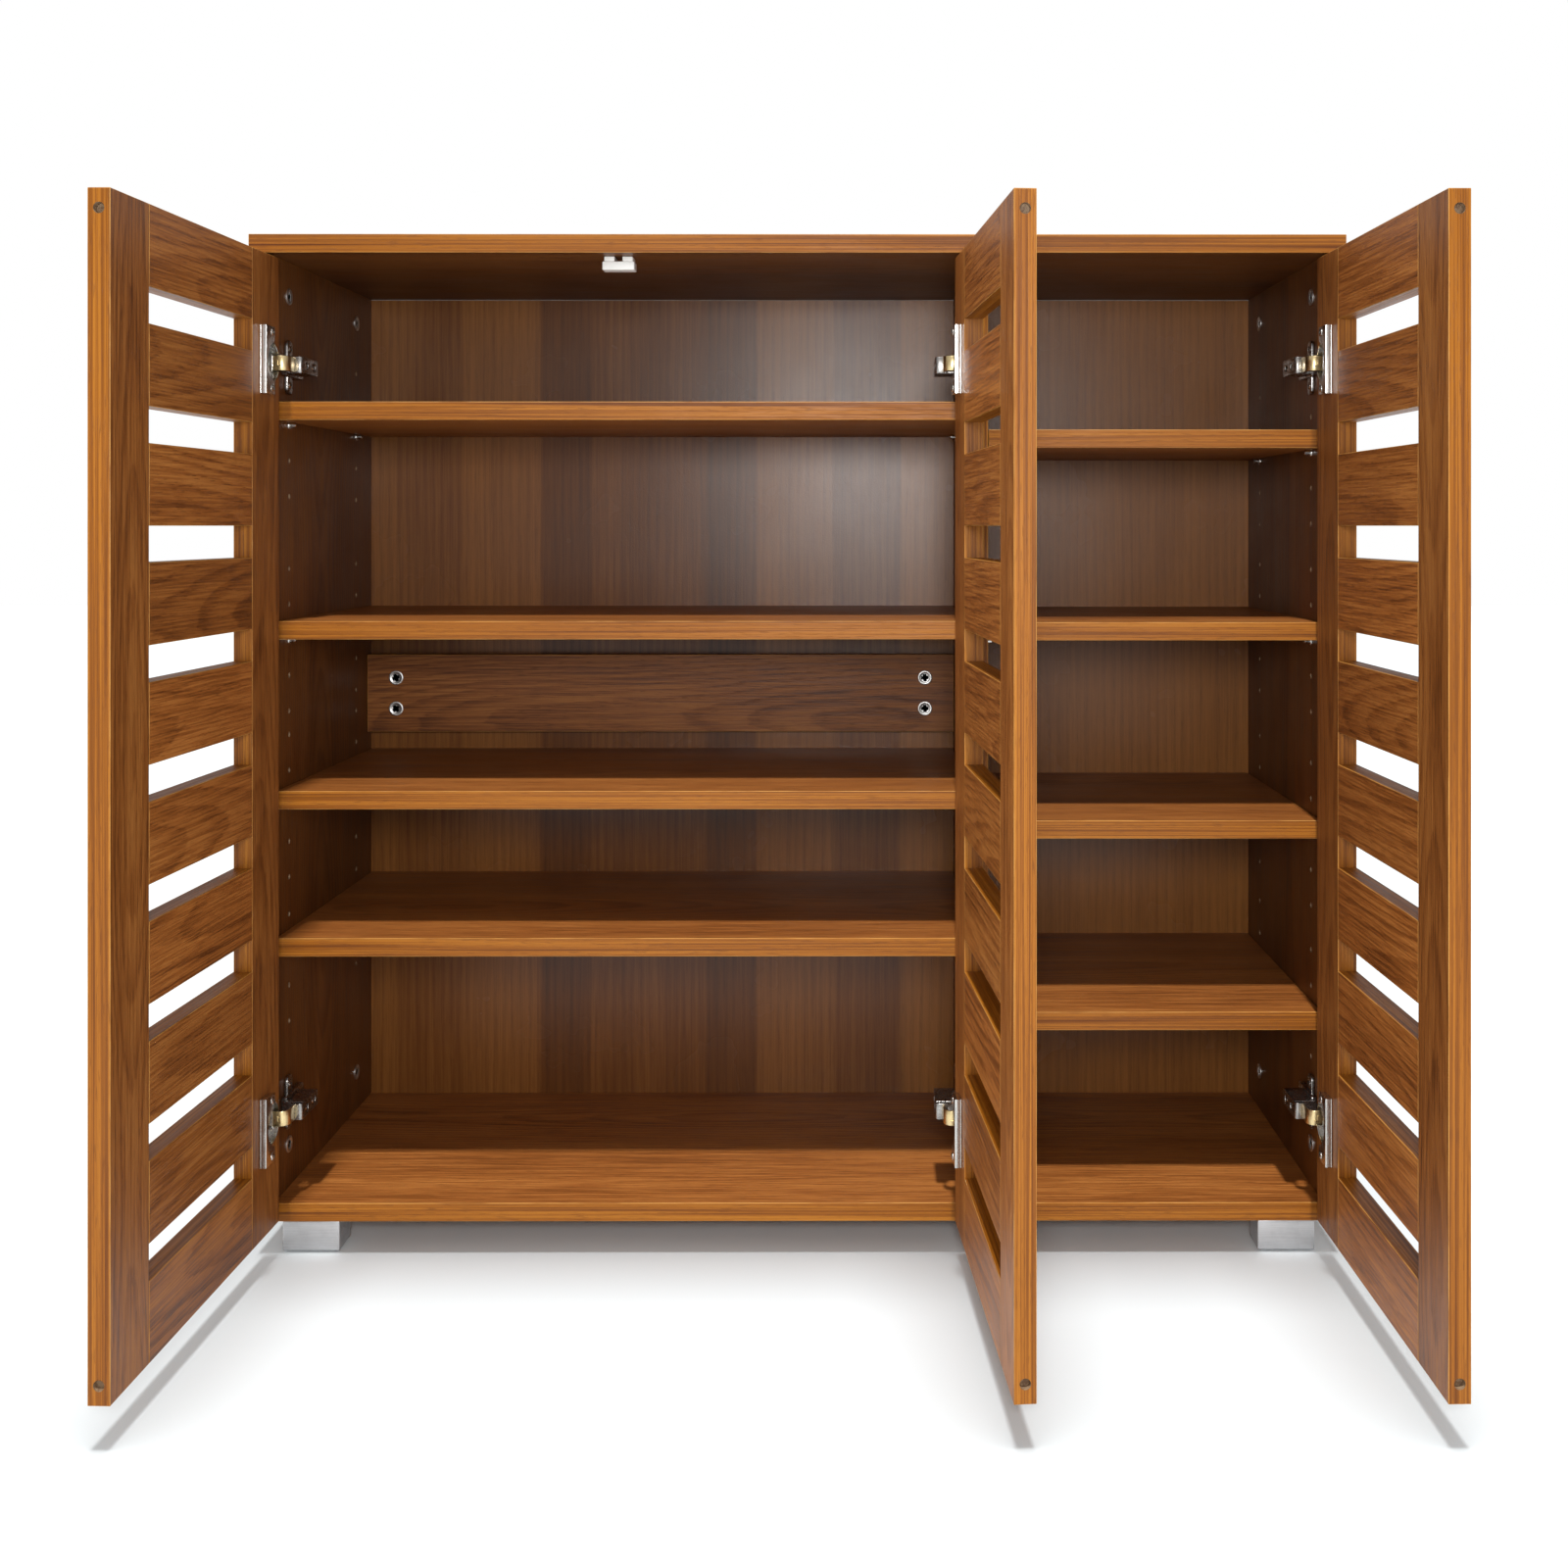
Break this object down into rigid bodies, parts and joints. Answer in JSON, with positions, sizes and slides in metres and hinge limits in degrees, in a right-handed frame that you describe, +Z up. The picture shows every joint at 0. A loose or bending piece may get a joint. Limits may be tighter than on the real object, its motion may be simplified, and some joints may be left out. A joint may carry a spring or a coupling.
{
  "type": "shoe cabinet",
  "caption": "Low wooden shoe cabinet on metal feet with slatted hinged doors, an off-centre divider and open shelves at staggered heights.",
  "frame": {"origin": "floor level under the centre of the bounding box, with the doors open as stored", "axes": "+X to the right seen from the front, +Y towards the back, +Z up"},
  "size_m": [0.9546, 0.6134, 0.89],
  "materials": {
    "walnut_board": "satin foil-faced board, walnut grain, lighter edge bands",
    "back_board": "satin printed hardboard",
    "foot_metal": "brushed",
    "hinge_steel": "nickel plated, satin",
    "hinge_brass": "yellow-passivated, satin",
    "zinc": "zinc die casting, matt",
    "stop_plastic": "moulded, satin"
  },
  "bodies": {
    "root": {"top_panel": "walnut_board", "bottom_panel": "walnut_board", "left_side_panel": "walnut_board", "right_side_panel": "walnut_board", "centre_divider": "walnut_board", "back_panel": "back_board", "rear_cleat": "walnut_board", "left_shelf_1": "walnut_board", "left_shelf_2": "walnut_board", "left_shelf_3": "walnut_board", "left_shelf_4": "walnut_board", "right_shelf_1": "walnut_board", "right_shelf_2": "walnut_board", "right_shelf_3": "walnut_board", "right_shelf_4": "walnut_board", "front_left_foot": "foot_metal", "front_right_foot": "foot_metal", "rear_left_foot": "foot_metal", "rear_right_foot": "foot_metal", "door_stop": "stop_plastic", "cleat_cam_left_lower": "zinc", "cleat_cam_left_upper": "zinc", "cleat_cam_right_lower": "zinc", "cleat_cam_right_upper": "zinc", "left_lower_hinge_link": "hinge_brass", "left_lower_hinge_arm": "hinge_steel", "left_upper_hinge_link": "hinge_brass", "left_upper_hinge_arm": "hinge_steel", "middle_lower_hinge_link": "hinge_brass", "middle_lower_hinge_arm": "hinge_steel", "middle_upper_hinge_link": "hinge_brass", "middle_upper_hinge_arm": "hinge_steel", "right_lower_hinge_link": "hinge_brass", "right_lower_hinge_arm": "hinge_steel", "right_upper_hinge_link": "hinge_brass", "right_upper_hinge_arm": "hinge_steel"},
    "left_door": {"left_door_hinge_stile": "walnut_board", "left_door_free_stile": "walnut_board", "left_door_bottom_rail": "walnut_board", "left_door_top_rail": "walnut_board", "left_door_slat_ladder": "walnut_board", "left_lower_hinge_cup": "hinge_steel", "left_upper_hinge_cup": "hinge_steel"},
    "middle_door": {"middle_door_hinge_stile": "walnut_board", "middle_door_free_stile": "walnut_board", "middle_door_bottom_rail": "walnut_board", "middle_door_top_rail": "walnut_board", "middle_door_slat_ladder": "walnut_board", "middle_lower_hinge_cup": "hinge_steel", "middle_upper_hinge_cup": "hinge_steel"},
    "right_door": {"right_door_hinge_stile": "walnut_board", "right_door_free_stile": "walnut_board", "right_door_bottom_rail": "walnut_board", "right_door_top_rail": "walnut_board", "right_door_slat_ladder": "walnut_board", "right_lower_hinge_cup": "hinge_steel", "right_upper_hinge_cup": "hinge_steel"}
  },
  "joints": [
    {"name": "left_door_swing", "type": "hinge", "parent": "root", "child": "left_door", "pos_m": [-0.4645, -0.00151, 0.451], "axis": [0, 0, -1], "range_deg": [-91.5, 6]},
    {"name": "middle_door_swing", "type": "hinge", "parent": "root", "child": "middle_door", "pos_m": [0.1485, -0.00151, 0.451], "axis": [0, 0, 1], "range_deg": [-94.5, 3]},
    {"name": "right_door_swing", "type": "hinge", "parent": "root", "child": "right_door", "pos_m": [0.4645, -0.00151, 0.451], "axis": [0, 0, 1], "range_deg": [-91.5, 6]}
  ]
}
